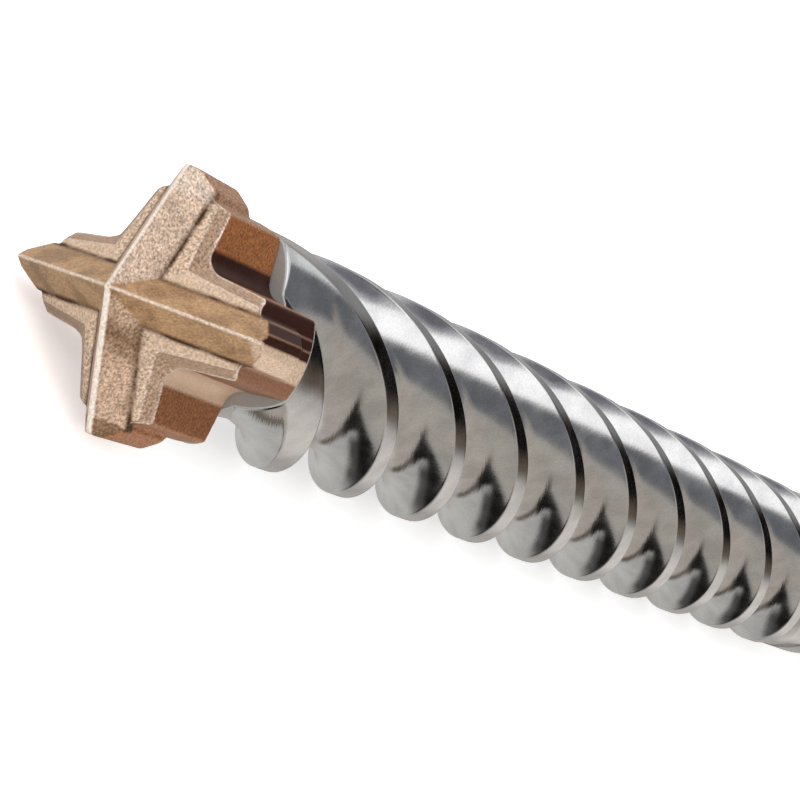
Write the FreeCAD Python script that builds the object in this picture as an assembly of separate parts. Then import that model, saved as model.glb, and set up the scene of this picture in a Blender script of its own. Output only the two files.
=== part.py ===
"""Hammer drill bit with a cross-shaped carbide head, a fluted steel body and a slotted shank.

Units are millimetres. The bit lies along X: the striking face of the shank is at x = 0, the cutting
tip points along +X, and +Z is up when the bit lies on two of its four arms. Angles round the axis
are in degrees, from +Z towards +Y, which is clockwise when seen from the tip.
"""
import FreeCAD, Part
import math
import os

# Overall sizes: the shank ends where the flutes begin
shank_length = 120.0
working_length = 250.0

# Cutting head: four equal arms, each with a sharp ridge that falls away from the centre
head_diameter = 28.0
point_angle = 126.0
arm_count = 4
first_arm_angle = 45.0
head_seat_depth = 17.4
body_side_diameter = 23.6
margin_relief = 0.25
margin_length = 10.6
blade_half_width = 2.5
blade_end_half_flat = 0.85
blade_shoulder_radius = 12.4
flank_drop = 4.4
ledge_angle = 15.0
arm_root_half_width = 5.6
arm_end_half_width = 3.9
pocket_corner_radius = 2.0
pocket_edge_chamfer = 1.1

# Helix: four narrow lands round a core, right-handed. Land edges are angles in the plane of the ridge ends
helix_diameter = 23.4
core_diameter = 15.0
helix_lead = 85.4
land_count = 4
land_width_angle = 17.0
land_phase = -31.8
flank_share = 0.54
floor_share = 0.84
flank_hollow = 0.74
flank_hollow_place = 0.45
row_turn = 8.0

# Lands are wider and flutes shallower where they carry the head, and the flutes run out before the collar
seat_extra_angle = 25.0
seat_blend_length = 26.0
seat_core_diameter = 17.4
seat_flank_hollow = 0.25
runout_length = 30.0
runout_step = 0.1
collar_diameter = 22.8
collar_length = 10.0
collar_cone_angle = 12.0

# Shank: plain round bar with open drive slots and closed locking grooves
shank_diameter = 18.0
shank_end_chamfer = 1.5
drive_slot_width = 5.6
drive_slot_depth = 2.6
drive_slot_length = 60.0
drive_slot_cutter_radius = 14.0
drive_slot_angles = (0.0, 150.0, 210.0)
lock_groove_radius = 4.5
lock_groove_depth = 3.2
lock_groove_start = 31.0
lock_groove_length = 30.0
lock_groove_angles = (90.0, 270.0)

# Places along the axis that follow from the sizes
overall_length = shank_length + working_length
head_radius = head_diameter / 2
arm_taper = (arm_root_half_width - arm_end_half_width) / head_radius
ridge_slope = 1 / math.tan(math.radians(point_angle / 2))
ridge_end_x = overall_length - head_radius * ridge_slope
seat_x = ridge_end_x - head_seat_depth
flute_end_x = shank_length
helix_radius = helix_diameter / 2
core_radius = core_diameter / 2
seat_core_radius = seat_core_diameter / 2
collar_radius = collar_diameter / 2
shank_radius = shank_diameter / 2
helix_turn_per_mm = 360.0 / helix_lead
clear = 5.0
match = 0.01


def polar(x, radius, angle):
    """A point at a radius and an angle round the axis, in the plane x."""
    turn = math.radians(angle)
    return FreeCAD.Vector(x, radius * math.sin(turn), radius * math.cos(turn))


def turned(profile):
    """Solid of revolution about X from (x, radius) corners of its half outline."""
    points = [FreeCAD.Vector(x, 0, radius) for x, radius in profile]
    face = Part.Face(Part.makePolygon(points + points[:1]))
    return face.revolve(FreeCAD.Vector(0, 0, 0), FreeCAD.Vector(1, 0, 0), 360)


def round_axis(shape, angle):
    """A copy of a shape made along +Z, turned about X to an angle round the axis."""
    copy = shape.copy()
    copy.rotate(FreeCAD.Vector(0, 0, 0), FreeCAD.Vector(1, 0, 0), -angle)
    return copy


def arm_angles():
    return [first_arm_angle + arm * 360.0 / arm_count for arm in range(arm_count)]


def extruded_plan(outline, x_from, x_to):
    """Prism along X from an outline of (side, radial) corners seen along the axis."""
    points = [FreeCAD.Vector(x_from, side, radial) for side, radial in outline]
    face = Part.Face(Part.makePolygon(points + points[:1]))
    return face.extrude(FreeCAD.Vector(x_to - x_from, 0, 0))


def arm_blade():
    """The raised blade of one arm: a roof along the falling ridge, ended by three upright facets."""
    below = seat_x - clear
    reach = head_radius + clear
    section = [(0, overall_length), (blade_half_width, overall_length - flank_drop),
               (blade_half_width, below), (-blade_half_width, below),
               (-blade_half_width, overall_length - flank_drop)]
    points = [FreeCAD.Vector(x, side, 0) for side, x in section]
    roof = Part.Face(Part.makePolygon(points + points[:1]))
    roof = roof.extrude(FreeCAD.Vector(-ridge_slope * reach, 0, reach))
    plan = [(-blade_half_width, 0), (-blade_half_width, blade_shoulder_radius),
            (-blade_end_half_flat, head_radius), (blade_end_half_flat, head_radius),
            (blade_half_width, blade_shoulder_radius), (blade_half_width, 0)]
    return roof.common(extruded_plan(plan, seat_x, overall_length))


def shoulder_cone():
    """The eight-sided pyramid that the shoulders beside the blades are cut to."""
    ledge_slope = math.tan(math.radians(ledge_angle))
    apex_x = overall_length - flank_drop + ledge_slope * blade_half_width
    height = apex_x - seat_x + clear
    arm_reach = height / ridge_slope
    valley_reach = height * math.sqrt(2) / (ridge_slope + ledge_slope)
    apex = FreeCAD.Vector(apex_x, 0, 0)
    base = []
    for angle in arm_angles():
        base.append(polar(apex_x - height, arm_reach, angle))
        base.append(polar(apex_x - height, valley_reach, angle + 180.0 / arm_count))
    faces = [Part.Face(Part.makePolygon(base + base[:1]))]
    for start, end in zip(base, base[1:] + base[:1]):
        faces.append(Part.Face(Part.makePolygon([apex, start, end, apex])))
    return Part.makeSolid(Part.makeShell(faces))


def shoulder_cross():
    """The cross of tapering arms below the blades, with bevelled shoulders and round pocket corners."""
    bar = [(-arm_end_half_width, -head_radius), (arm_end_half_width, -head_radius),
           (arm_root_half_width, 0), (arm_end_half_width, head_radius),
           (-arm_end_half_width, head_radius), (-arm_root_half_width, 0)]
    bar = extruded_plan(bar, seat_x, overall_length)
    cross = round_axis(bar, first_arm_angle).fuse(round_axis(bar, first_arm_angle + 90)).removeSplitter()
    barrel = turned([(seat_x, 0), (seat_x, body_side_diameter / 2),
                     (overall_length, body_side_diameter / 2), (overall_length, 0)])
    cross = cross.common(shoulder_cone()).common(barrel)
    return round_pocket_corners(bevel_pocket_edges(cross))


def edge_middle(edge):
    """Middle point of an edge and its distance from the axis."""
    middle = edge.valueAt((edge.FirstParameter + edge.LastParameter) / 2)
    return middle, math.hypot(middle.y, middle.z)


def bevel_pocket_edges(cross):
    """Bevels the edge where the shoulders drop into the pockets."""
    rim = []
    for edge in cross.Edges:
        middle, radius = edge_middle(edge)
        on_outside = abs(radius - body_side_diameter / 2) < match
        on_top = edge.BoundBox.XMin > seat_x + pocket_edge_chamfer
        sides = []
        for angle in arm_angles():
            turn = math.radians(angle)
            sides.append(abs(middle.y * math.cos(turn) - middle.z * math.sin(turn)))
        if on_top and not on_outside and min(sides) > arm_end_half_width:
            rim.append(edge)
    return cross.makeChamfer(pocket_edge_chamfer, rim)


def round_pocket_corners(cross):
    """Rounds the upright inner corners of the four pockets."""
    corner_radius = arm_root_half_width / (1 + arm_taper) * math.sqrt(2)
    corners = [edge for edge in cross.Edges
               if abs(edge_middle(edge)[1] - corner_radius) < match and edge.BoundBox.YLength < match]
    return cross.makeFillet(pocket_corner_radius, corners)


def head_barrel():
    """The turned outline of the head: ground margins, then a step down to the body's size."""
    step = head_radius - margin_relief - body_side_diameter / 2
    margin_end_x = ridge_end_x - margin_length
    return turned([(seat_x, 0), (seat_x, body_side_diameter / 2),
                   (margin_end_x - step, body_side_diameter / 2),
                   (margin_end_x, head_radius - margin_relief), (ridge_end_x, head_radius),
                   (overall_length, head_radius), (overall_length, 0)])


def carbide_head():
    """One sintered piece: four blades over a cross of arms."""
    head = shoulder_cross()
    blade = arm_blade()
    for angle in arm_angles():
        head = head.fuse(round_axis(blade, angle))
    return head.common(head_barrel()).removeSplitter()


def ease(share):
    """Smooth step from 0 to 1."""
    share = min(max(share, 0.0), 1.0)
    return share * share * (3 - 2 * share)


def seat_share(x):
    """How much a section belongs to the seat of the head: 1 at the seat, 0 beyond the blend."""
    return (1 - min(max((seat_x - x) / seat_blend_length, 0.0), 1.0)) ** 2


def land_edges(x):
    """Angles of the rear and the front edge of the first land in the plane x."""
    turn = land_phase + (ridge_end_x - x) * helix_turn_per_mm
    return turn - land_width_angle, turn + seat_extra_angle * seat_share(x)


def flute_depth(x):
    """Share of the full flute depth in the plane x, which falls to nothing where the flutes run out."""
    return ease((x - flute_end_x) / runout_length)


def arc_row(x, radius, start, end):
    """Three control points of a round arc about the axis."""
    middle = radius / math.cos(math.radians((end - start) / 2))
    return [polar(x, radius, start), polar(x, middle, (start + end) / 2), polar(x, radius, end)]


def land_row(x, swell):
    """Control points across the top of the first land."""
    rear, front = land_edges(x)
    return arc_row(x, helix_radius * swell, rear, front)


def flute_corners(x, swell):
    """Angles of the flute's four corners in the plane x, and the radius of its floor."""
    rear, front = land_edges(x)
    next_rear = rear + 360.0 / land_count
    flute = next_rear - front
    shallow = collar_radius - runout_step
    core = core_radius + (seat_core_radius - core_radius) * seat_share(x)
    floor = shallow - (shallow - core) * flute_depth(x)
    return front, front + flank_share * flute, front + floor_share * flute, next_rear, floor * swell


def flank_row(x, swell):
    """Control points down the leaning flank from a land's front edge to the flute's floor."""
    front, floor_start, floor_end, next_rear, floor = flute_corners(x, swell)
    top = helix_radius * swell
    hollow = flank_hollow + (seat_flank_hollow - flank_hollow) * seat_share(x)
    middle = polar(x, top + (floor - top) * hollow, front + (floor_start - front) * flank_hollow_place)
    return [polar(x, top, front), middle, polar(x, floor, floor_start)]


def floor_row(x, swell):
    """Control points across the round floor."""
    front, floor_start, floor_end, next_rear, floor = flute_corners(x, swell)
    return arc_row(x, floor, floor_start, floor_end)


def wall_row(x, swell):
    """Control points up the steep wall to the next land's rear edge."""
    front, floor_start, floor_end, next_rear, floor = flute_corners(x, swell)
    return [polar(x, floor, floor_end), polar(x, helix_radius * swell, next_rear)]


def helical_skin(row):
    """Surface swept along the bit from one row of control points in each plane.

    Rows are evenly spaced, and a cubic through evenly turned rows falls short of their circle, so
    each row is swelled by 3 / (2 + cos(turn between rows)) and the surface keeps its radius.
    """
    span = seat_x - flute_end_x
    spans = math.ceil(span * helix_turn_per_mm / row_turn)
    swell = 3 / (2 + math.cos(math.radians(span * helix_turn_per_mm / spans)))
    poles = [row(seat_x - span * step / spans, swell) for step in range(-1, spans + 2)]
    across = len(poles[0]) - 1
    surface = Part.BSplineSurface()
    surface.buildFromPolesMultsKnots(
        poles, [1] * (spans + 7), [across + 1, across + 1],
        list(range(-3, spans + 4)), [0, 1], False, False, 3, across)
    surface.segment(0, spans, 0, 1)
    return surface.toShape()


def fluted_bar():
    """The helix: land, flank, floor and wall skins, repeated round the axis and closed at both ends."""
    skins = []
    for row in (land_row, flank_row, floor_row, wall_row):
        skin = helical_skin(row)
        for land in range(land_count):
            skins.append(round_axis(skin, land * 360.0 / land_count))
    for x in (seat_x, flute_end_x):
        rim = [edge for skin in skins for edge in skin.Edges
               if edge.BoundBox.XLength < match and abs(edge.BoundBox.XMin - x) < match]
        skins.append(Part.Face(Part.Wire(Part.sortEdges(rim)[0])))
    shell = Part.makeShell(skins)
    shell.sewShape()
    solid = Part.makeSolid(Part.makeShell(shell.Faces))
    return solid


def collar_and_shank():
    """The turned part behind the flutes: a collar, a cone and the round bar of the shank."""
    cone_start_x = flute_end_x - collar_length
    cone_end_x = cone_start_x - (collar_radius - shank_radius) / math.tan(math.radians(collar_cone_angle))
    return turned([(0, 0), (0, shank_radius - shank_end_chamfer), (shank_end_chamfer, shank_radius),
                   (cone_end_x, shank_radius), (cone_start_x, collar_radius),
                   (flute_end_x, collar_radius), (flute_end_x, 0)])


def drive_slot():
    """Cutter path of an open slot along the top of the shank, with the cutter's round run-out."""
    floor = shank_radius - drive_slot_depth
    straight = Part.makeBox(drive_slot_length + clear, drive_slot_width, clear,
                            FreeCAD.Vector(-clear, -drive_slot_width / 2, floor))
    wheel = Part.makeCylinder(drive_slot_cutter_radius, drive_slot_width,
                              FreeCAD.Vector(drive_slot_length, -drive_slot_width / 2,
                                             floor + drive_slot_cutter_radius),
                              FreeCAD.Vector(0, 1, 0))
    return straight.fuse(wheel)


def lock_groove():
    """Cutter of a closed groove with round ends."""
    height = shank_radius - lock_groove_depth + lock_groove_radius
    first = FreeCAD.Vector(lock_groove_start + lock_groove_radius, 0, height)
    length = lock_groove_length - 2 * lock_groove_radius
    groove = Part.makeCylinder(lock_groove_radius, length, first, FreeCAD.Vector(1, 0, 0))
    for end in (first, first + FreeCAD.Vector(length, 0, 0)):
        groove = groove.fuse(Part.makeSphere(lock_groove_radius, end))
    return groove


def steel_body():
    """One steel piece: helix, collar and shank."""
    body = fluted_bar().fuse(collar_and_shank())
    for angle in drive_slot_angles:
        body = body.cut(round_axis(drive_slot(), angle))
    for angle in lock_groove_angles:
        body = body.cut(round_axis(lock_groove(), angle))
    return body


def main():
    os.makedirs("parts", exist_ok=True)
    for name, shape in (("carbide_head", carbide_head()), ("steel_body", steel_body())):
        solid = shape.Solids[0]
        print(name, len(shape.Solids), "solid", solid.isValid(), round(solid.Volume, 1), solid.BoundBox)
        solid.exportStep(f"parts/{name}.step")


main()
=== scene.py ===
"""Rotary hammer drill bit on a pale studio floor, seen from its cutting tip."""
import math

import bmesh
import bpy
import numpy as np
from bpy.props import FloatProperty, FloatVectorProperty, PointerProperty
from mathutils import Matrix, Vector


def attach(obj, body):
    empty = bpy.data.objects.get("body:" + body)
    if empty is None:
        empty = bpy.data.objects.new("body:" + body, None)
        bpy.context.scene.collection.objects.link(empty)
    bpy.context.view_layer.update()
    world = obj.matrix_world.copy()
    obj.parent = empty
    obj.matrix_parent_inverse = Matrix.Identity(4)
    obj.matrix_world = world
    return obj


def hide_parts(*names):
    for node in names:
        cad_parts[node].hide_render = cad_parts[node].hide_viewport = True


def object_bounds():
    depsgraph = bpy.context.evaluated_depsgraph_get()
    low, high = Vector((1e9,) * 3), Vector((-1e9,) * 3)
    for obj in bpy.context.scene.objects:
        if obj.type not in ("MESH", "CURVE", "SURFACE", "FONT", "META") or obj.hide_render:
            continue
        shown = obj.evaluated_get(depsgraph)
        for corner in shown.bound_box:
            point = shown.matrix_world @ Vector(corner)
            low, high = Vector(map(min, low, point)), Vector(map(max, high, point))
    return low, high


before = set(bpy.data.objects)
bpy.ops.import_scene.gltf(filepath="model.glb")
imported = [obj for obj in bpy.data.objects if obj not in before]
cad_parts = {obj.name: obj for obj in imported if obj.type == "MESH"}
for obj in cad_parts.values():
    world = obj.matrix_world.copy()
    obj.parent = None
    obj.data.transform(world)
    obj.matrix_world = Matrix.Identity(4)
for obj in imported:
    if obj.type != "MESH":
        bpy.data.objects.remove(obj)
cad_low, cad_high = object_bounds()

bl_info = {
    "name": "Hammer Drill Bit",
    "version": (1, 0, 0),
    "blender": (4, 5, 0),
    "location": "View3D > Sidebar > Drill Bit",
    "description": "Builds a fluted hammer drill bit with a cross-shaped carbide head",
    "category": "Add Mesh",
}

MILLIMETRE = 0.001

# Places of the head in millimetres. The striking face is at x = 0 and the tip points along +X. The
# slope is how far a cutting ridge falls for each millimetre outward
HEAD_TIP = cad_high[0] / MILLIMETRE
HEAD_RADIUS = 14.0
HEAD_SEAT_DEPTH = 17.4
RIDGE_SLOPE = 0.5095
RIDGE_END = HEAD_TIP - HEAD_RADIUS * RIDGE_SLOPE
SEAT = RIDGE_END - HEAD_SEAT_DEPTH

# Sizes of the steel body in millimetres and degrees
HELIX_RADIUS = 11.7
CORE_RADIUS = 7.5
HELIX_LEAD = 85.4
LAND_COUNT = 4
LAND_WIDTH = 17.0
LAND_PHASE = -31.8
SEAT_CHAMFER = 0.15
FLUTE_END = 120.0
FLANK_SHARE = 0.54
FLOOR_SHARE = 0.84
FLANK_HOLLOW = 0.74
FLANK_HOLLOW_PLACE = 0.45
SEAT_EXTRA = 25.0
SEAT_BLEND = 26.0
SEAT_CORE_RADIUS = 8.7
SEAT_FLANK_HOLLOW = 0.25
RUNOUT_LENGTH = 30.0
RUNOUT_STEP = 0.1
COLLAR_RADIUS = 11.4
COLLAR_LENGTH = 10.0
CONE_ANGLE = 12.0
SHANK_RADIUS = 9.0
SHANK_CHAMFER = 1.5
SLOT_HALF_WIDTH = 2.8
SLOT_DEPTH = 2.6
SLOT_LENGTH = 60.0
SLOT_CUTTER = 14.0
SLOT_ANGLES = (0.0, 150.0, 210.0)
GROOVE_RADIUS = 4.5
GROOVE_DEPTH = 3.2
GROOVE_CENTRE = SHANK_RADIUS - GROOVE_DEPTH + GROOVE_RADIUS
GROOVE_START = 31.0
GROOVE_LENGTH = 30.0
GROOVE_ANGLES = (90.0, 270.0)

# Points across one land, one flank, one floor and one wall, and how much they gather at both ends
LAND_POINTS = 12
FLANK_POINTS = 22
FLOOR_POINTS = 12
WALL_POINTS = 14
POINT_GATHERING = 0.65
CORNER_PASSES = 2

# Points across one slot or groove, and down one wall of a slot
RUN_POINTS = 26
SLOT_WALL_POINTS = 5
ANGLE_TOLERANCE = 0.01

# Rows of the body: how many on the helix, how far behind it on the collar and its cone, and on the
# shank the first place, the limit and the step, closer together where slots and grooves run out
HELIX_ROWS = 300
COLLAR_ROWS = (0, 0.6, 3, 6, 9, COLLAR_LENGTH - 0.2, COLLAR_LENGTH + 0.2, 12, 15, 18, 20.8)
SHANK_ROWS = ((98.5, 70, -4), (69, 59.5, -0.5), (59, 54, -0.4), (53.5, 38, -2.5), (37, 30, -0.4),
              (29, 2, -4))
CHAMFER_ROWS = (1.6, 1.4, 0.7, 0.0)
SHARP_ANGLE = 40.0

# Zones of the head's finish, painted shade and painted highlights in millimetres: across an arm
# # from its middle plane, along it from the axis, and down from its ridge. Each pair says where a
# # zone starts and where it is full
BLADE_FOOT = (2.45, 2.75)
BROW_ACROSS = (2.9, 3.2)
# The crease zone takes painted shade
CREASE_ACROSS = 2.5
CREASE_REACH = 0.36
CREASE_DROP = (5.6, 4.9)
# The ridge zone takes a painted highlight along each cutting ridge
RIDGE_WIDTH = 0.24
RIDGE_SOUTH_WIDTH = 0.16
RIDGE_BLUR = 0.12
RIDGE_DROP = (1.2, 0.8)
SMUDGE_ALONG = 4.4
SMUDGE_REACH = 2.4
# Painted shade fills the upper inner corners of the pockets
CORNER_ALONG = (7.2, 6.8)
END_RADIUS = (11.5, 11.75)
END_FACET_ACROSS = (2.7, 2.3)
END_STEPS_ACROSS = (1.1, 2.3)
END_STEP_REACH = 0.2
ARM_BLUR = 0.15

# Outer stretches of three arms: where each starts along the arm, and its strength
NORTH_WORN = (11.0, 0.3)
SOUTH_DARK = (12.1, 0.9)
EAST_PALE = (12.9, 0.9)
OUTER_BLUR = (0.3, 0.6)
OUTER_RAGGEDNESS = 0.8

# Zones by how far the surface faces forward, which is the x of its normal
LEDGE_FACING = (0.62, 0.80)
WALL_FACING = (0.40, 0.16)
# The lip and brow zones carry painted highlights along the edges
LIP_FACING = 0.35
LIP_REACH = 0.20
BROW_FACING = 0.68
BROW_REACH = 0.10

# Noise in cells for each metre, and round and along the body for the marks of the cutter
GRAIN_SCALE = 3600.0
PATCH_SCALE = 330.0
MOTTLE_SCALE = 260.0
MARK_SCALE = (420.0, 3.0, 1.0)

# How noise fades a finish: the noise at both ends, and the strength that it gives there
DARK_PATCHES = (0.45, 0.62, 0.0, 0.55)
SMUDGE_PATCHES = (0.35, 0.55, 0.4, 0.9)
CREASE_PATCHES = (0.40, 0.60, 1.3, 0.6)
LIP_PATCHES = (0.35, 0.60, 0.9, 0.4)
CARBIDE_SPECKS = (0.34, 0.66, 0.45, 1.35)
STEEL_PATCHES = (0.35, 0.65, 0.0, 1.0)
STEEL_SPECKS = (0.32, 0.68, 0.94, 1.05)
STEEL_ROUGHNESS = (0.3, 0.7, 0.08, 0.15)

# Strengths of the head's wear, painted shade and painted highlights. The painted highlight on the
# # ridges is weaker on plain arms than on rubbed ones
NORTH_WEAR = 0.22
BROW_HIGHLIGHT = 0.5
RIDGE_HIGHLIGHT = (0.45, 0.95)
END_BROWN = 0.7
LOWER_WALL_SHADE = 0.3
END_SHADE = 0.35
END_STEP_HIGHLIGHT = 0.6

# How far the grain is calmed on plain arms, on ridges and in the lower inner corners
PLAIN_CALM = 0.45
RIDGE_CALM = 0.65
CORNER_CALM = 0.8

# Heights of the grains and of the steel's marks in millimetres, the share of the grains on blades
# and on walls, and the share of fine grit among the marks
GRAIN_HEIGHT = 0.12
MARK_HEIGHT = 0.03
GRAIN_RELIEF = (0.30, 0.08)
GRIT_RELIEF = 0.45

# The matt front face of the steel fades in between these distances behind the seat
SEAT_FACE = (0.22, 0.12)
SEAT_METALLIC = 0.15
SEAT_EXTRA_ROUGHNESS = 0.4

# Camera that matches the photo
CAMERA_PLACE = (0.710456, 0.127596, 0.116616)
CAMERA_UP = (0.149776, -0.886209, 0.438407)
CAMERA_FORWARD = (-0.924546, -0.282678, -0.255555)
CAMERA_LENS = 180.0
CAMERA_SENSOR = 36.0
CAMERA_CLIP = (0.01, 60.0)

# Studio: the floor's glow for light and for the camera, and lamps with their place, size and watts
FLOOR_GLOW = (0.3, 0.5)
FLOOR_WHITE = 0.95
LAMP_TARGET = (0.33, 0.0, 0.0)
LAMPS = (
    ("panel_top", (0.45, -0.2, 0.9), (1.2, 1.0), 4.0),
    ("panel_right", (0.6, 0.8, 0.5), (1.0, 0.8), 2.0),
    ("panel_front", (1.1, -0.35, 0.45), (0.6, 0.6), 2.0),
)

# What the steel mirrors. Directions are angles round the bit, from +Z towards +Y, and angles away
# from the way the tip points. A lean shifts a panel's angles by that much for each degree of the
# second angle away from the panel's own middle. Later panels hide earlier ones
PANELS = (
    # name, lean, middle, first and last angle, softness, first and last away, softness, brightness
    ("cool wall", 1.5, 105, -200, 14, 6, 88, 118, 4, (0.80, 0.82, 0.86)),
    ("dark blue flag", 1.5, 97, -6, 22, 5, 90, 105, 3, (0.22, 0.22, 0.26)),
    ("light panel", 1.65, 105, 14, 48, 2, 70, 123, 4, (1.50, 1.52, 1.55)),
    ("light panel, far part", 1.5, 105, 0, 56, 5, 123, 136, 4, (0.95, 0.97, 1.00)),
    ("grey flag", 1.65, 105, 52, 88, 2, 88, 142, 4, (0.19, 0.20, 0.22)),
    ("warm wall", 1.5, 105, 89, 140, 10, 88, 148, 4, (0.52, 0.49, 0.44)),
    ("pale wall below", 0.0, 120, 110, 235, 6, 121, 149, 3, (0.58, 0.58, 0.56)),
    ("warm wall, far part", -1.8, 120, 40, 113, 5, 121, 149, 3, (0.54, 0.50, 0.45)),
    ("gap, brown rim", -1.9, 126, 121, 132, 3, 117, 151, 3, (0.17, 0.14, 0.115)),
    ("gap, shade beside it", 0.0, 120, 142, 184, 6, 117, 126.5, 2, (0.095, 0.09, 0.085)),
    ("gap, left part", -1.75, 121, 111, 129, 2, 119.5, 131.5, 1.5, (0.015, 0.013, 0.012)),
    ("gap, middle", 0.0, 121, 121, 137, 2, 118, 126, 1.5, (0.015, 0.013, 0.012)),
    ("gap, right part", 3.0, 121, 111, 168, 3, 108, 119.6, 1.2, (0.013, 0.012, 0.011)),
    ("lands, pale side", 0.0, 158, 55, 215, 20, 150, 180, 3, (0.78, 0.74, 0.70)),
    ("lands, lower side", 0.0, 158, 152, 260, 14, 150, 180, 3, (0.45, 0.425, 0.40)),
    ("lands, upper side", 0.0, 158, -85, 70, 22, 150, 180, 3, (0.28, 0.28, 0.28)),
    ("lands, brown rim", 0.0, 158, -25, 66, 8, 150, 180, 3, (0.14, 0.11, 0.085)),
    ("lands, dark stretch", 0.0, 158, -25, 44, 10, 149, 180, 3, (0.005, 0.004, 0.003)),
)
PANEL_INPUTS = ("Lean", "Middle", "First", "Last", "Softness", "Near", "Far", "Blur")
LOWEST_PANEL_ANGLE = -100.0
BETWEEN_PANELS = (0.50, 0.49, 0.47)
SOFT_LIGHT = (0.95, 0.95, 0.95)
WHITE = (1.0, 1.0, 1.0)


# Shapes

def on_circle(radius, angle):
    """Point of the section as y + iz, at an angle in degrees from +Z towards +Y."""
    return radius * (np.sin(np.radians(angle)) + 1j * np.cos(np.radians(angle)))


def eased(count):
    """Shares from 0 up to but not including 1, closer together near both ends."""
    even = np.arange(count) / count
    return (1 - POINT_GATHERING) * even + POINT_GATHERING * (0.5 - 0.5 * np.cos(np.pi * even))


def bend(first, middle, last, share):
    """Quadratic curves between columns of points, one curve per row."""
    first, middle, last = first[:, None], middle[:, None], last[:, None]
    return first * (1 - share) ** 2 + 2 * middle * share * (1 - share) + last * share ** 2


def arc(radius, start, end, count):
    """Round stretches of the sections between two angles, one per row."""
    middle = radius / np.cos(np.radians((end - start) / 2))
    return bend(on_circle(radius, start), on_circle(middle, (start + end) / 2),
                on_circle(radius, end), eased(count))


def helix_sections(x):
    """Closed sections of the fluted bar, one row per place along the bit.

    Each quarter is a round land, a curved flank that leans down from the land's front edge, a round
    floor and a straight wall up to the next land. The quarter turns with distance along the lead.
    """
    turn = LAND_PHASE + (RIDGE_END - x) * 360.0 / HELIX_LEAD
    seat = (1 - np.clip((SEAT - x) / SEAT_BLEND, 0, 1)) ** 2
    rear, front = turn - LAND_WIDTH, turn + SEAT_EXTRA * seat
    next_rear = rear + 360.0 / LAND_COUNT
    flute = next_rear - front
    share = np.clip((x - FLUTE_END) / RUNOUT_LENGTH, 0, 1)
    depth = share * share * (3 - 2 * share)
    shallow = COLLAR_RADIUS - RUNOUT_STEP
    floor = shallow - (shallow - CORE_RADIUS - (SEAT_CORE_RADIUS - CORE_RADIUS) * seat) * depth
    floor_start, floor_end = front + FLANK_SHARE * flute, front + FLOOR_SHARE * flute
    top = np.full_like(x, HELIX_RADIUS)
    hollow = FLANK_HOLLOW + (SEAT_FLANK_HOLLOW - FLANK_HOLLOW) * seat
    hollow = on_circle(top + (floor - top) * hollow,
                       front + (floor_start - front) * FLANK_HOLLOW_PLACE)
    flank = bend(on_circle(top, front), hollow, on_circle(floor, floor_start), eased(FLANK_POINTS))
    foot, head = on_circle(floor, floor_end), on_circle(top, next_rear)
    wall = bend(foot, (foot + head) / 2, head, eased(WALL_POINTS))
    quarter = np.hstack([arc(top, rear, front, LAND_POINTS), flank,
                         arc(floor, floor_start, floor_end, FLOOR_POINTS), wall])
    step = np.exp(-1j * 2 * np.pi / LAND_COUNT)
    return np.hstack([quarter * step ** land for land in range(LAND_COUNT)])


def softened(section, passes):
    """Sections with their corners rounded a little, by averaging neighbours along the section."""
    for _ in range(passes):
        section = (np.roll(section, 1, axis=1) + 2 * section + np.roll(section, -1, axis=1)) / 4
    return section


def slot_half_angle():
    """Half the angle that a drive slot takes of the shank's outline, in degrees."""
    return math.degrees(math.asin(SLOT_HALF_WIDTH / SHANK_RADIUS))


def groove_half_angle():
    """Half the angle that a locking groove takes of the shank's outline, in degrees."""
    sides = SHANK_RADIUS ** 2 + GROOVE_CENTRE ** 2 - GROOVE_RADIUS ** 2
    return math.degrees(math.acos(sides / (2 * SHANK_RADIUS * GROOVE_CENTRE)))


def shank_angles(count):
    """Angles of the points round the shank: every slot and groove has its own run of points."""
    slot, groove = slot_half_angle(), groove_half_angle()
    runs = sorted([(angle - slot, angle + slot) for angle in SLOT_ANGLES]
                  + [(angle - groove, angle + groove) for angle in GROOVE_ANGLES])
    starts = [start for start, _ in runs[1:]] + [runs[0][0] + 360]
    gaps = [(end, start) for (_, end), start in zip(runs, starts)]
    plain = count - RUN_POINTS * len(runs)
    total = sum(end - start for start, end in gaps)
    sizes = [round(plain * (end - start) / total) for start, end in gaps]
    sizes[0] += plain - sum(sizes)
    angles = []
    for (start, end), (gap_start, gap_end), size in zip(runs, gaps, sizes):
        angles.append(np.linspace(start, end, RUN_POINTS))
        angles.append(np.linspace(gap_start, gap_end, size + 1, endpoint=False)[1:])
    return np.concatenate(angles)


def wound_beside(layout, angles):
    """The layout's angles, started and unwound so that each lies beside its partner in angles."""
    shift = int(np.argmin(np.abs((layout - angles[0] + 180) % 360 - 180)))
    wound = np.concatenate([layout[shift:], layout[:shift] + 360])
    return wound + 360 * round((angles.mean() - wound.mean()) / 360)


def points_near(angles, middle, half):
    """Indices of the points within half an angle of the middle, in the order of their angles."""
    offset = (angles - middle + 180) % 360 - 180
    near = np.nonzero(np.abs(offset) <= half + ANGLE_TOLERANCE)[0]
    return near[np.argsort(offset[near])]


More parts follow.
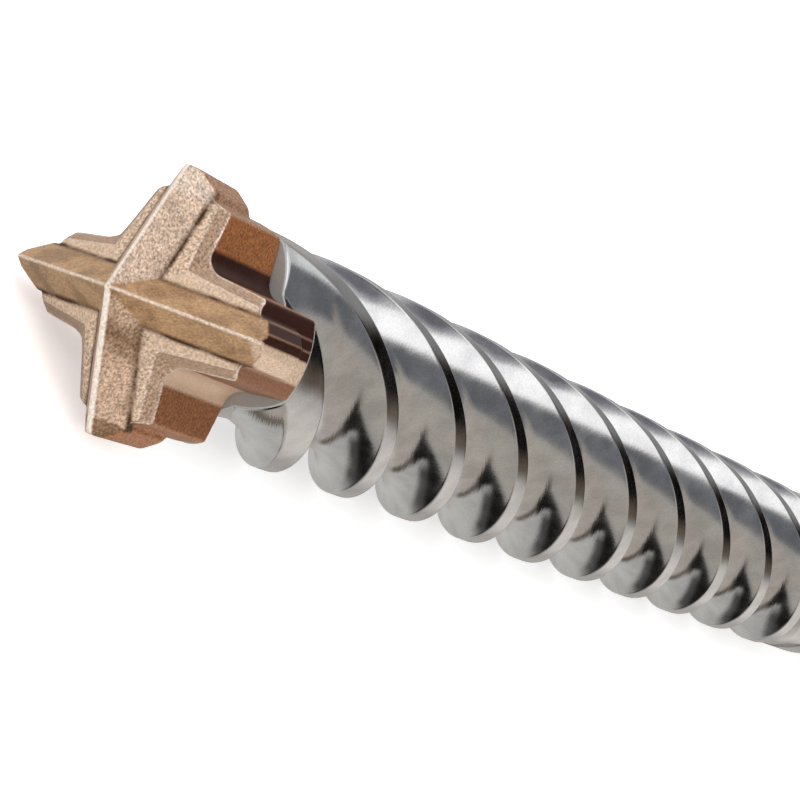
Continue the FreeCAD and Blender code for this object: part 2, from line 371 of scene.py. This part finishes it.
def cut_slots(x, radius, angles, section):
    """Cuts the flat-floored drive slots, whose floor runs out on the round of their cutter."""
    past = np.maximum(x - SLOT_LENGTH, 0)
    rise = SLOT_CUTTER - np.sqrt(np.maximum(SLOT_CUTTER ** 2 - past ** 2, 0))
    floor = np.where(past < SLOT_CUTTER, SHANK_RADIUS - SLOT_DEPTH + rise, SHANK_RADIUS)[:, None]
    flat = RUN_POINTS - 2 * SLOT_WALL_POINTS
    edge, down = np.ones(SLOT_WALL_POINTS), np.arange(SLOT_WALL_POINTS) / SLOT_WALL_POINTS
    side = np.concatenate([-edge, np.linspace(-1, 1, flat), edge]) * SLOT_HALF_WIDTH
    drop = np.concatenate([down, np.ones(flat), down[::-1]])
    rim = np.sqrt(np.maximum(radius[:, None] ** 2 - side ** 2, 0))
    height = rim + (np.minimum(floor, rim) - rim) * drop
    for angle in SLOT_ANGLES:
        run = points_near(angles, angle, slot_half_angle())
        section[:, run] = (side + 1j * height) * np.exp(-1j * math.radians(angle))


def cut_grooves(x, angles, section):
    """Cuts the closed locking grooves, round across and at both ends."""
    start = GROOVE_START + GROOVE_RADIUS
    end = GROOVE_START + GROOVE_LENGTH - GROOVE_RADIUS
    beyond = np.maximum(np.maximum(start - x, x - end), 0)[:, None]
    for angle in GROOVE_ANGLES:
        run = points_near(angles, angle, groove_half_angle())
        point = section[:, run] * np.exp(1j * math.radians(angle))
        room = GROOVE_RADIUS ** 2 - beyond ** 2 - point.real ** 2
        ball = np.where(room > 0, GROOVE_CENTRE - np.sqrt(np.maximum(room, 0)), SHANK_RADIUS)
        point = point.real + 1j * np.minimum(point.imag, ball)
        section[:, run] = point * np.exp(-1j * math.radians(angle))


def turned_radius(x):
    """Radius of the turned part behind the flutes."""
    cone_start = FLUTE_END - COLLAR_LENGTH
    cone_length = (COLLAR_RADIUS - SHANK_RADIUS) / math.tan(math.radians(CONE_ANGLE))
    return np.interp(x, [0, SHANK_CHAMFER, cone_start - cone_length, cone_start, FLUTE_END],
                     [SHANK_RADIUS - SHANK_CHAMFER, SHANK_RADIUS, SHANK_RADIUS,
                      COLLAR_RADIUS, COLLAR_RADIUS])


def body_rows():
    """Places along the body and its sections, from the seat of the head to the striking face."""
    x_helix = np.linspace(SEAT - SEAT_CHAMFER, FLUTE_END, HELIX_ROWS)
    helix = softened(helix_sections(x_helix), CORNER_PASSES)
    face = helix[:1] * (1 - SEAT_CHAMFER / HELIX_RADIUS)
    angles = np.degrees(np.unwrap(np.angle(1j * np.conj(helix[-1]))))
    wound = wound_beside(shank_angles(helix.shape[1]), angles)
    x_collar = FLUTE_END - np.array(COLLAR_ROWS)
    blend = np.linspace(0, 1, len(x_collar))[:, None]
    collar = on_circle(turned_radius(x_collar)[:, None], angles * (1 - blend) + wound * blend)
    x_shank = np.concatenate([np.arange(*rows) for rows in SHANK_ROWS] + [CHAMFER_ROWS])
    radius = turned_radius(x_shank)
    shank = on_circle(radius[:, None], wound)
    cut_slots(x_shank, radius, wound, shank)
    cut_grooves(x_shank, wound, shank)
    x = np.concatenate([[SEAT], x_helix, x_collar, x_shank])
    return x, np.vstack([face, helix, collar, shank])


def tube_mesh(name, x, sections):
    """Closed mesh through rows of sections, with one flat face over each end."""
    rows, around = sections.shape
    places = np.repeat(x[:, None], around, axis=1)
    points = np.stack([places, sections.real, sections.imag], axis=-1).reshape(-1, 3) * MILLIMETRE
    row, column = np.meshgrid(np.arange(rows - 1), np.arange(around), indexing="ij")
    after = (column + 1) % around
    quads = np.stack([row * around + column, row * around + after,
                      (row + 1) * around + after, (row + 1) * around + column], axis=-1)
    front = np.arange(around)[::-1]
    back = np.arange((rows - 1) * around, rows * around)
    faces = quads.reshape(-1, 4).tolist() + [front.tolist(), back.tolist()]
    mesh = bpy.data.meshes.new(name)
    mesh.from_pydata(points.tolist(), [], faces)
    mesh.update()
    return mesh


def add_section_map(mesh, x, around):
    """UV map of the body: round the section, and along the bit as a share of the seat's place."""
    loops = np.empty(len(mesh.loops), dtype=np.int64)
    mesh.loops.foreach_get("vertex_index", loops)
    across = (loops % around) / around
    along = np.repeat(x, around)[loops] / x[0]
    layer = mesh.uv_layers.new(name="section")
    layer.data.foreach_set("uv", np.stack([across, along], axis=-1).ravel())


def merged_copy(mesh, name):
    """Copy of a mesh of loose triangles, with the points that coincide joined."""
    copy = mesh.copy()
    copy.name = name
    shell = bmesh.new()
    shell.from_mesh(copy)
    bmesh.ops.remove_doubles(shell, verts=shell.verts, dist=MILLIMETRE / 1000)
    shell.to_mesh(copy)
    shell.free()
    return copy


# Node helpers

def new_group(name, inputs, outputs):
    """Shader group: (name, socket type, default) for its inputs, (name, type) for its outputs."""
    group = bpy.data.node_groups.new(name, "ShaderNodeTree")
    for label, kind, default in inputs:
        socket = group.interface.new_socket(label, in_out="INPUT", socket_type=kind)
        socket.default_value = default
    for label, kind in outputs:
        group.interface.new_socket(label, in_out="OUTPUT", socket_type=kind)
    return group, group.nodes.new("NodeGroupInput"), group.nodes.new("NodeGroupOutput")


def use_group(tree, group):
    node = tree.nodes.new("ShaderNodeGroup")
    node.node_tree = group
    return node


def new_material(name):
    material = bpy.data.materials.new(name)
    material.use_nodes = True
    tree = material.node_tree
    return material, tree, tree.nodes["Principled BSDF"]


def set_material(piece, material):
    piece.data.materials.clear()
    piece.data.materials.append(material)


def add_node(tree, kind, values=None, **settings):
    """Node with its settings, and fixed values on its sockets."""
    node = tree.nodes.new(kind)
    for key, value in settings.items():
        setattr(node, key, value)
    for socket, value in (values or {}).items():
        node.inputs[socket].default_value = value
    return node


def add_math(tree, operation, *values, clamp=False):
    """Math node whose sockets take either numbers or other outputs."""
    node = tree.nodes.new("ShaderNodeMath")
    node.operation = operation
    node.use_clamp = clamp
    for socket, value in zip(node.inputs, values):
        if isinstance(value, (int, float)):
            socket.default_value = value
        else:
            tree.links.new(value, socket)
    return node.outputs[0]


def add_product(tree, first, *others, clamp=False):
    for other in others:
        first = add_math(tree, "MULTIPLY", first, other, clamp=clamp)
    return first


def add_opposite(tree, value):
    return add_math(tree, "SUBTRACT", 1.0, value)


def add_range(tree, value, low, high, to_low=0.0, to_high=1.0):
    """Clamped map range."""
    node = add_node(tree, "ShaderNodeMapRange", {1: low, 2: high, 3: to_low, 4: to_high})
    tree.links.new(value, node.inputs[0])
    return node.outputs[0]


def add_hump(tree, value, middle, reach):
    """One at the middle, falling to zero at the reach on both sides."""
    distance = add_math(tree, "ABSOLUTE", add_math(tree, "SUBTRACT", value, middle))
    return add_range(tree, distance, reach, 0.0)


def add_mix(tree, share, first, second, blend="MIX"):
    """Colour mix whose sockets take colours or other outputs."""
    node = add_node(tree, "ShaderNodeMix", data_type="RGBA", blend_type=blend)
    sockets = (node.inputs[0], node.inputs[6], node.inputs[7])
    for socket, value in zip(sockets, (share, first, second)):
        if isinstance(value, bpy.types.NodeSocket):
            tree.links.new(value, socket)
        elif isinstance(value, (int, float)):
            socket.default_value = value
        else:
            socket.default_value = (*value[:3], 1.0)
    return node.outputs[2]


def add_noise(tree, place, scale, detail, roughness=0.5):
    node = add_node(tree, "ShaderNodeTexNoise",
                    {"Scale": scale, "Detail": detail, "Roughness": roughness})
    tree.links.new(place, node.inputs["Vector"])
    return node.outputs[0]


def object_place(tree):
    return add_node(tree, "ShaderNodeTexCoord").outputs["Object"]


# Materials

def grain_group():
    """Sintered surface: fine grains, broad patches, and a slightly rough surface."""
    group, source, result = new_group(
        "Sintered Grain", [("Height", "NodeSocketFloat", 1.0)],
        [("Grain", "NodeSocketFloat"), ("Patches", "NodeSocketFloat"),
         ("Normal", "NodeSocketVector")])
    place = object_place(group)
    grain = add_noise(group, place, GRAIN_SCALE, detail=3.0, roughness=0.6)
    patches = add_noise(group, place, PATCH_SCALE, detail=3.0)
    bump = add_node(group, "ShaderNodeBump", {"Distance": GRAIN_HEIGHT * MILLIMETRE})
    group.links.new(grain, bump.inputs["Height"])
    group.links.new(source.outputs["Height"], bump.inputs["Strength"])
    group.links.new(grain, result.inputs["Grain"])
    group.links.new(patches, result.inputs["Patches"])
    group.links.new(bump.outputs[0], result.inputs["Normal"])
    return group


def zone_group():
    """Places on the head in millimetres, from object coordinates.

    Across is the distance from the middle plane of the nearest arm, Along the distance from the
    axis in that plane, and Drop the depth below that arm's cutting ridge. North, East and South are
    the shares of three arms: North points 45 degrees from +Z away from +Y, East 45 degrees from +Z
    towards +Y, and South away from North. Upper is the share of the half on North's side of East.
    """
    labels = ("Across", "Along", "Drop", "North", "East", "South", "Upper")
    outputs = [(label, "NodeSocketFloat") for label in labels]
    group, _, result = new_group("Head Zones", [], outputs)
    scale = add_node(group, "ShaderNodeVectorMath", operation="SCALE")
    scale.inputs["Scale"].default_value = 1 / MILLIMETRE
    split = add_node(group, "ShaderNodeSeparateXYZ")
    group.links.new(object_place(group), scale.inputs[0])
    group.links.new(scale.outputs[0], split.inputs[0])
    x, y, z = split.outputs
    east = add_product(group, add_math(group, "ADD", y, z), math.sqrt(0.5))
    north = add_product(group, add_math(group, "SUBTRACT", z, y), math.sqrt(0.5))
    east_size = add_math(group, "ABSOLUTE", east)
    north_size = add_math(group, "ABSOLUTE", north)
    along = add_math(group, "MAXIMUM", east_size, north_size)
    ridge = add_math(group, "SUBTRACT", HEAD_TIP, add_product(group, along, RIDGE_SLOPE))
    values = [add_math(group, "MINIMUM", east_size, north_size), along,
              add_math(group, "SUBTRACT", ridge, x)]
    for sign, main, other in ((1.0, north, east_size), (1.0, east, north_size),
                              (-1.0, north, east_size)):
        lead = add_math(group, "SUBTRACT", add_product(group, main, sign), other)
        values.append(add_range(group, lead, -ARM_BLUR, ARM_BLUR))
    values.append(add_range(group, north, -ARM_BLUR, ARM_BLUR))
    for label, value in zip(labels, values):
        group.links.new(value, result.inputs[label])
    return group


def facing_forward(tree):
    """How far the surface faces the way the tip points, as the x of its normal."""
    geometry = add_node(tree, "ShaderNodeNewGeometry")
    normal = add_node(tree, "ShaderNodeVectorTransform", convert_from="WORLD", convert_to="OBJECT",
                      vector_type="NORMAL")
    split = add_node(tree, "ShaderNodeSeparateXYZ")
    tree.links.new(geometry.outputs["Normal"], normal.inputs[0])
    tree.links.new(normal.outputs[0], split.inputs[0])
    return split.outputs["X"]


def head_masks(tree, zones, facing):
    """Masks of the head's zones, by name."""
    across, along = zones["Across"], zones["Along"]
    wall = add_range(tree, facing, *WALL_FACING)
    outer = add_range(tree, across, *BLADE_FOOT)
    squares = add_math(tree, "ADD", add_product(tree, along, along),
                       add_product(tree, across, across))
    radius = add_math(tree, "SQRT", squares)
    rubbed = add_math(tree, "ADD", zones["North"], zones["South"], clamp=True)
    width = add_math(tree, "ADD", RIDGE_WIDTH, add_product(tree, zones["South"], RIDGE_SOUTH_WIDTH))
    inside = add_math(tree, "SUBTRACT", width, across)
    return {
        "ledge": add_range(tree, facing, *LEDGE_FACING),
        "wall": wall,
        "outer": outer,
        "flank": add_product(tree, add_opposite(tree, outer), add_opposite(tree, wall)),
        "rubbed": rubbed,
        "lower": add_opposite(tree, zones["Upper"]),
        # corner and end carry painted shade, ridge a painted highlight
        "corner": add_product(tree, wall, add_range(tree, along, *CORNER_ALONG)),
        "end": add_product(tree, wall, add_range(tree, radius, *END_RADIUS)),
        "ridge": add_product(tree, add_math(tree, "DIVIDE", inside, RIDGE_BLUR, clamp=True),
                             add_range(tree, zones["Drop"], *RIDGE_DROP),
                             add_range(tree, rubbed, 0.0, 1.0, *RIDGE_HIGHLIGHT)),
    }


def blade_tone(tree, look, zones, mask, patches):
    """Colour of the blades, with dark patches and a smudge, and of the ledges and bevels."""
    tone = add_mix(tree, mask["rubbed"], look.carbide_colour, look.rubbed_colour)
    dark = add_range(tree, patches, *DARK_PATCHES)
    tone = add_mix(tree, dark, tone, look.carbide_dark)
    smudge = add_product(tree, zones["South"],
                         add_hump(tree, zones["Along"], SMUDGE_ALONG, SMUDGE_REACH),
                         add_range(tree, patches, *SMUDGE_PATCHES))
    tone = add_mix(tree, smudge, tone, look.carbide_dark)
    tone = add_mix(tree, add_product(tree, zones["North"], NORTH_WEAR), tone, look.wear_and_highlight_colour)
    tone = add_mix(tree, mask["outer"], tone, look.bevel_colour)
    tone = add_mix(tree, mask["ledge"], tone, look.ledge_colour)
    lower_east = add_product(tree, zones["East"], mask["lower"])
    edge = add_math(tree, "ADD", zones["Along"], add_product(tree, patches, OUTER_RAGGEDNESS))
    for arm, colour, (start, strength) in ((zones["North"], look.wear_and_highlight_colour, NORTH_WORN),
                                           (zones["South"], look.carbide_dark, SOUTH_DARK),
                                           (lower_east, look.ledge_colour, EAST_PALE)):
        reach = add_range(tree, edge, *(start + blur for blur in OUTER_BLUR))
        tone = add_mix(tree, add_product(tree, arm, mask["flank"], reach, strength), tone, colour)
    return tone


def wall_tone(tree, look, zones, mask, tone):
    """Adds the pocket walls, their inner corners and the outer ends of the arms.

    Painted shade darkens the lower walls, the upper inner corners and the outer ends, and painted
    highlights light the steps on the east arm's end.
    """
    upper, lower = zones["Upper"], mask["lower"]
    facet = add_range(tree, zones["Across"], *END_FACET_ACROSS)
    beside = add_opposite(tree, facet)
    # Painted highlights along the steps of the east arm's end
    humps = [add_hump(tree, zones["Across"], place, END_STEP_REACH) for place in END_STEPS_ACROSS]
    step_highlights = add_math(tree, "MAXIMUM", *humps)
    # The outer ends take a darker brown, partly painted shade as they face away from the light
    plain_end = add_mix(tree, END_BROWN, look.end_colour, look.wall_colour)
    end_tone = add_mix(tree, zones["North"], plain_end, look.end_colour)
    east_end = add_product(tree, mask["end"], zones["East"])
    # Painted shade: lower walls, upper inner corners, the east end's upper side and the side beside
    # its facet
    for share, colour in (
            (mask["wall"], look.wall_colour),
            (add_product(tree, mask["wall"], lower, LOWER_WALL_SHADE), look.painted_shade_colour),
            (add_product(tree, mask["corner"], upper), look.painted_shade_colour),
            (add_product(tree, mask["corner"], lower), look.rubbed_colour),
            (mask["end"], end_tone),
            (add_product(tree, east_end, upper), look.painted_shade_colour),
            (add_product(tree, east_end, lower, facet), look.ledge_colour),
            (add_product(tree, east_end, lower, beside, END_SHADE), look.painted_shade_colour),
            (add_product(tree, east_end, upper, step_highlights, END_STEP_HIGHLIGHT), look.end_colour)):
        tone = add_mix(tree, share, tone, colour)
    return tone


def shade_and_highlight_tone(tree, look, zones, mask, patches, facing, tone):
    """Adds painted shade in the creases at the blades' feet, and painted highlights on the edges.
    """
    # Painted shade in the creases at the feet of the blades
    crease = add_product(tree, add_hump(tree, zones["Across"], CREASE_ACROSS, CREASE_REACH),
                         add_range(tree, zones["Drop"], *CREASE_DROP),
                         add_range(tree, patches, *CREASE_PATCHES), clamp=True)
    # Painted highlights along the lips, the brows and the ridges
    lip_highlight = add_product(tree, add_hump(tree, facing, LIP_FACING, LIP_REACH), mask["outer"],
                      add_range(tree, patches, *LIP_PATCHES))
    brow_highlight = add_product(tree, add_hump(tree, facing, BROW_FACING, BROW_REACH),
                       add_range(tree, zones["Across"], *BROW_ACROSS), BROW_HIGHLIGHT)
    tone = add_mix(tree, crease, tone, look.crease_shade_colour)
    for share in (lip_highlight, brow_highlight, mask["ridge"]):
        tone = add_mix(tree, share, tone, look.wear_and_highlight_colour)
    return tone


def carbide_material(look):
    """Copper-tinted sintered carbide: paler ledges and brown pocket walls.

    Painted shade darkens creases, corners and ends, and painted highlights brighten the ridges and
    edges.
    """
    material, tree, shader = new_material("carbide")
    grain = use_group(tree, grain_group())
    zones = use_group(tree, zone_group()).outputs
    patches = grain.outputs["Patches"]
    facing = facing_forward(tree)
    mask = head_masks(tree, zones, facing)
    tone = blade_tone(tree, look, zones, mask, patches)
    tone = wall_tone(tree, look, zones, mask, tone)
    tone = shade_and_highlight_tone(tree, look, zones, mask, patches, facing, tone)
    calm = add_range(tree, mask["rubbed"], 0.0, 1.0, PLAIN_CALM, 0.0)
    calm = add_math(tree, "MAXIMUM", calm, add_product(tree, mask["ridge"], RIDGE_CALM))
    corner = add_product(tree, mask["corner"], mask["lower"], CORNER_CALM)
    calm = add_math(tree, "MAXIMUM", calm, corner)
    speck = add_range(tree, grain.outputs["Grain"], *CARBIDE_SPECKS)
    speck = add_math(tree, "ADD", add_product(tree, speck, add_opposite(tree, calm)), calm)
    tree.links.new(add_mix(tree, 1.0, tone, speck, "MULTIPLY"), shader.inputs["Base Color"])
    relief = add_range(tree, mask["wall"], 0.0, 1.0, *GRAIN_RELIEF)
    tree.links.new(relief, grain.inputs["Height"])
    tree.links.new(grain.outputs["Normal"], shader.inputs["Normal"])
    shader.inputs["Metallic"].default_value = 0.55
    shader.inputs["Specular IOR Level"].default_value = 0.15
    shader.inputs["Roughness"].default_value = 0.42
    return material


def steel_material(look):
    """Bright steel: lands and flutes with faint marks along the helix, and a matt front face."""
    material, tree, shader = new_material("steel")
    stretch = add_node(tree, "ShaderNodeMapping", {"Scale": MARK_SCALE})
    section = add_node(tree, "ShaderNodeUVMap", uv_map="section").outputs[0]
    tree.links.new(section, stretch.inputs[0])
    lines = add_noise(tree, stretch.outputs[0], 1.0, detail=3.0)

    place = object_place(tree)
    mottle = add_noise(tree, place, MOTTLE_SCALE, detail=3.0)
    grit = add_noise(tree, place, GRAIN_SCALE, detail=2.0)
    split = add_node(tree, "ShaderNodeSeparateXYZ")
    tree.links.new(place, split.inputs[0])
    limits = [(SEAT - depth) * MILLIMETRE for depth in SEAT_FACE]
    front = add_range(tree, split.outputs["X"], *limits)

    patches = add_range(tree, mottle, *STEEL_PATCHES)
    tone = add_mix(tree, patches, look.steel_dark, look.steel_colour)
    tone = add_mix(tree, front, tone, look.seat_colour)
    speck = add_range(tree, grit, *STEEL_SPECKS)
    tree.links.new(add_mix(tree, 1.0, tone, speck, "MULTIPLY"), shader.inputs["Base Color"])
    bump = add_node(tree, "ShaderNodeBump",
                    {"Strength": 0.25, "Distance": MARK_HEIGHT * MILLIMETRE})
    marks = add_math(tree, "ADD", lines, add_product(tree, grit, GRIT_RELIEF))
    tree.links.new(marks, bump.inputs["Height"])
    tree.links.new(bump.outputs[0], shader.inputs["Normal"])
    metallic = add_range(tree, front, 0.0, 1.0, 1.0, SEAT_METALLIC)
    tree.links.new(metallic, shader.inputs["Metallic"])
    rough = add_math(tree, "ADD", add_range(tree, mottle, *STEEL_ROUGHNESS),
                     add_product(tree, front, SEAT_EXTRA_ROUGHNESS))
    tree.links.new(rough, shader.inputs["Roughness"])
    return material


def floor_material():
    """Nearly white and matt, with a glow that lets only a faint shadow show."""
    material, tree, shader = new_material("studio_floor")
    shader.inputs["Base Color"].default_value = (FLOOR_WHITE, FLOOR_WHITE, FLOOR_WHITE, 1.0)
    shader.inputs["Roughness"].default_value = 0.8
    shader.inputs["Emission Color"].default_value = (*WHITE, 1.0)
    path = add_node(tree, "ShaderNodeLightPath")
    glow = add_range(tree, path.outputs["Is Camera Ray"], 0.0, 1.0, *FLOOR_GLOW)
    tree.links.new(glow, shader.inputs["Emission Strength"])
    return material


# Studio

def panel_group():
    """Mask of one soft-edged panel, from a direction's two angles."""
    inputs = [(label, "NodeSocketFloat", 0.0) for label in ("Angle", "Away", *PANEL_INPUTS)]
    group, source, result = new_group("Studio Panel", inputs, [("Mask", "NodeSocketFloat")])
    value = source.outputs
    offset = add_math(group, "SUBTRACT", value["Away"], value["Middle"])
    turned = add_math(group, "ADD", value["Angle"], add_product(group, value["Lean"], offset))
    edges = []
    for place, first, last, soft in ((turned, "First", "Last", "Softness"),
                                     (value["Away"], "Near", "Far", "Blur")):
        for high, low in ((place, value[first]), (value[last], place)):
            inside = add_math(group, "SUBTRACT", high, low)
            share = add_math(group, "DIVIDE", inside, value[soft])
            edges.append(add_math(group, "MULTIPLY_ADD", share, 0.5, 0.5, clamp=True))
    group.links.new(add_product(group, *edges), result.inputs["Mask"])
    return group


def studio_world():
    """White for the camera, even light for rough surfaces, and the panels for what is mirrored."""
    world = bpy.data.worlds.new("studio")
    world.use_nodes = True
    tree = world.node_tree
    background = tree.nodes["Background"]
    direction = add_node(tree, "ShaderNodeSeparateXYZ")
    tree.links.new(add_node(tree, "ShaderNodeTexCoord").outputs["Generated"], direction.inputs[0])
    x, y, z = direction.outputs
    angle = add_product(tree, add_math(tree, "ARCTAN2", y, z), math.degrees(1))
    angle = add_math(tree, "SUBTRACT", angle, LOWEST_PANEL_ANGLE)
    angle = add_math(tree, "FLOORED_MODULO", angle, 360.0)
    angle = add_math(tree, "ADD", angle, LOWEST_PANEL_ANGLE)
    away = add_product(tree, add_math(tree, "ARCCOSINE", x), math.degrees(1))
    group = panel_group()
    colour = BETWEEN_PANELS
    for name, *values, shade in PANELS:
        panel = use_group(tree, group)
        panel.label = name
        for label, value in zip(PANEL_INPUTS, values):
            panel.inputs[label].default_value = value
        tree.links.new(angle, panel.inputs["Angle"])
        tree.links.new(away, panel.inputs["Away"])
        colour = add_mix(tree, panel.outputs[0], colour, shade)
    path = add_node(tree, "ShaderNodeLightPath")
    colour = add_mix(tree, path.outputs["Is Glossy Ray"], SOFT_LIGHT, colour)
    colour = add_mix(tree, path.outputs["Is Camera Ray"], colour, WHITE)
    tree.links.new(colour, background.inputs["Color"])
    background.inputs["Strength"].default_value = 1.0
    return world


def add_floor(scene):
    """Square floor under the bit, which the bit doesn't mirror."""
    half = scene.bit_sizes.floor_size / 2
    level = -HELIX_RADIUS * MILLIMETRE
    corners = [(-half, -half, level), (half, -half, level),
               (half, half, level), (-half, half, level)]
    mesh = bpy.data.meshes.new("studio_floor")
    mesh.from_pydata(corners, [], [(0, 1, 2, 3)])
    floor = bpy.data.objects.new("studio_floor", mesh)
    scene.collection.objects.link(floor)
    set_material(floor, floor_material())
    floor.visible_glossy = False


def add_lamps(scene):
    """Soft lamps that point at the helix, and that the bit doesn't mirror."""
    for name, place, size, power in LAMPS:
        data = bpy.data.lights.new(name, "AREA")
        data.shape = "RECTANGLE"
        data.size, data.size_y = size
        data.energy = power
        lamp = bpy.data.objects.new(name, data)
        lamp.visible_glossy = False
        lamp.location = place
        aim = Vector(LAMP_TARGET) - Vector(place)
        lamp.rotation_euler = aim.to_track_quat("-Z", "Y").to_euler()
        scene.collection.objects.link(lamp)


def add_camera(scene):
    """Camera fitted to the photo: long lens, looking down a little and rolled."""
    data = bpy.data.cameras.new("camera")
    data.lens = CAMERA_LENS
    data.sensor_width = CAMERA_SENSOR
    data.clip_start, data.clip_end = CAMERA_CLIP
    camera = bpy.data.objects.new("camera", data)
    up, forward = Vector(CAMERA_UP), Vector(CAMERA_FORWARD)
    turn = Matrix((forward.cross(up), up, -forward)).transposed().to_4x4()
    camera.matrix_world = Matrix.Translation(CAMERA_PLACE) @ turn
    scene.collection.objects.link(camera)
    scene.camera = camera


# What a user can change

class BitColours(bpy.types.PropertyGroup):
    """Colours of the bit."""
    carbide_colour: FloatVectorProperty(
        name="Carbide", description="Main colour of the sintered head", subtype="COLOR", size=3,
        min=0, max=1, default=(0.53, 0.33, 0.18))
    carbide_dark: FloatVectorProperty(
        name="Carbide, dark", description="Darker patches of the head", subtype="COLOR", size=3,
        min=0, max=1, default=(0.24, 0.135, 0.072))
    rubbed_colour: FloatVectorProperty(
        name="Rubbed arms", description="Two arms that are rubbed paler", subtype="COLOR", size=3,
        min=0, max=1, default=(0.62, 0.43, 0.3))
    ledge_colour: FloatVectorProperty(
        name="Ledges", description="Paler ledges beside the blades", subtype="COLOR", size=3,
        min=0, max=1, default=(0.75, 0.555, 0.405))
    bevel_colour: FloatVectorProperty(
        name="Bevels", description="Sloping edges round the pockets", subtype="COLOR", size=3,
        min=0, max=1, default=(0.44, 0.29, 0.195))
    # Outer ends: a darker brown, partly painted shade
    end_colour: FloatVectorProperty(
        name="Outer ends", description="Outer ends of the arms", subtype="COLOR", size=3,
        min=0, max=1, default=(0.45, 0.26, 0.165))
    wall_colour: FloatVectorProperty(
        name="Pocket walls", description="Brown sides of the pockets", subtype="COLOR", size=3,
        min=0, max=1, default=(0.4, 0.155, 0.055))
    # Painted shade on the lower walls, the upper inner corners and the east arm's end
    painted_shade_colour: FloatVectorProperty(
        name="Deep shade", description="Darkest sides", subtype="COLOR", size=3,
        min=0, max=1, default=(0.045, 0.011, 0.006))
    # Painted shade in the creases at the feet of the blades
    crease_shade_colour: FloatVectorProperty(
        name="Creases", description="Hollows at the feet of the blades", subtype="COLOR", size=3,
        min=0, max=1, default=(0.085, 0.042, 0.022))
    # Paler wear on the north arm, and painted highlights on the ridges, lips and brows
    wear_and_highlight_colour: FloatVectorProperty(
        name="Worn edges", description="Bright rubbed edges", subtype="COLOR", size=3,
        min=0, max=1, default=(0.92, 0.8, 0.7))
    steel_colour: FloatVectorProperty(
        name="Steel", description="Colour of the body", subtype="COLOR", size=3,
        min=0, max=1, default=(0.66, 0.65, 0.64))
    steel_dark: FloatVectorProperty(
        name="Steel, dark", description="Darker patches of the body", subtype="COLOR", size=3,
        min=0, max=1, default=(0.52, 0.51, 0.51))
    seat_colour: FloatVectorProperty(
        name="Steel, front face", description="Matt face that the head is brazed to",
        subtype="COLOR", size=3, min=0, max=1, default=(0.34, 0.33, 0.315))


class BitSizes(bpy.types.PropertyGroup):
    """Sizes of the head's surface and of the floor."""
    head_voxel: FloatProperty(
        name="Head detail", description="Size of the head's surface cells", subtype="DISTANCE",
        unit="LENGTH", min=0.00015, max=0.001, default=0.00022)
    floor_size: FloatProperty(
        name="Floor size", description="Side of the studio floor", subtype="DISTANCE",
        unit="LENGTH", min=1.0, max=40.0, default=12.0)


class BIT_OT_head(bpy.types.Operator):
    """Makes the carbide head: the CAD head's own shape, with its edges rounded a little"""
    bl_idname = "drill_bit.head"
    bl_label = "Carbide head"

    def execute(self, context):
        scene = context.scene
        mesh = merged_copy(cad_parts["carbide_head"].data, "rounded_head")
        piece = bpy.data.objects.new("rounded_head", mesh)
        scene.collection.objects.link(piece)
        cells = piece.modifiers.new("cells", "REMESH")
        cells.mode = "VOXEL"
        cells.voxel_size = scene.bit_sizes.head_voxel
        cells.use_smooth_shade = True
        smooth = piece.modifiers.new("rounded edges", "SMOOTH")
        smooth.factor = 0.5
        smooth.iterations = 3
        set_material(piece, carbide_material(scene.bit_colours))
        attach(piece, "root")
        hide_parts("carbide_head")
        return {"FINISHED"}


class BIT_OT_body(bpy.types.Operator):
    """Makes the fluted steel body with its collar and shank"""
    bl_idname = "drill_bit.body"
    bl_label = "Steel body"

    def execute(self, context):
        scene = context.scene
        x, sections = body_rows()
        mesh = tube_mesh("fluted_body", x, sections)
        add_section_map(mesh, x, sections.shape[1])
        mesh.polygons.foreach_set("use_smooth", np.ones(len(mesh.polygons), dtype=bool))
        mesh.set_sharp_from_angle(angle=math.radians(SHARP_ANGLE))
        piece = bpy.data.objects.new("fluted_body", mesh)
        scene.collection.objects.link(piece)
        set_material(piece, steel_material(scene.bit_colours))
        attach(piece, "root")
        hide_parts("steel_body")
        return {"FINISHED"}


class BIT_OT_stage(bpy.types.Operator):
    """Adds the floor, the lights and the camera"""
    bl_idname = "drill_bit.stage"
    bl_label = "Studio"

    def execute(self, context):
        scene = context.scene
        add_floor(scene)
        scene.world = studio_world()
        add_lamps(scene)
        add_camera(scene)
        scene.view_settings.view_transform = "Standard"
        return {"FINISHED"}


class BIT_PT_panel(bpy.types.Panel):
    """Builds the bit and its studio"""
    bl_idname = "BIT_PT_panel"
    bl_label = "Drill Bit"
    bl_space_type = "VIEW_3D"
    bl_region_type = "UI"
    bl_category = "Drill Bit"

    def draw(self, context):
        layout = self.layout
        for group in (context.scene.bit_colours, context.scene.bit_sizes):
            for key in group.__annotations__:
                layout.prop(group, key)
        for operator in (BIT_OT_head, BIT_OT_body, BIT_OT_stage):
            layout.operator(operator.bl_idname)


CLASSES = (BitColours, BitSizes, BIT_OT_head, BIT_OT_body, BIT_OT_stage, BIT_PT_panel)


def register():
    for item in CLASSES:
        bpy.utils.register_class(item)
    bpy.types.Scene.bit_colours = PointerProperty(type=BitColours)
    bpy.types.Scene.bit_sizes = PointerProperty(type=BitSizes)


def unregister():
    del bpy.types.Scene.bit_sizes
    del bpy.types.Scene.bit_colours
    for item in reversed(CLASSES):
        bpy.utils.unregister_class(item)


def main():
    register()
    bpy.ops.drill_bit.body()
    bpy.ops.drill_bit.head()
    bpy.ops.drill_bit.stage()
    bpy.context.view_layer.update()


if __name__ == "__main__":
    main()
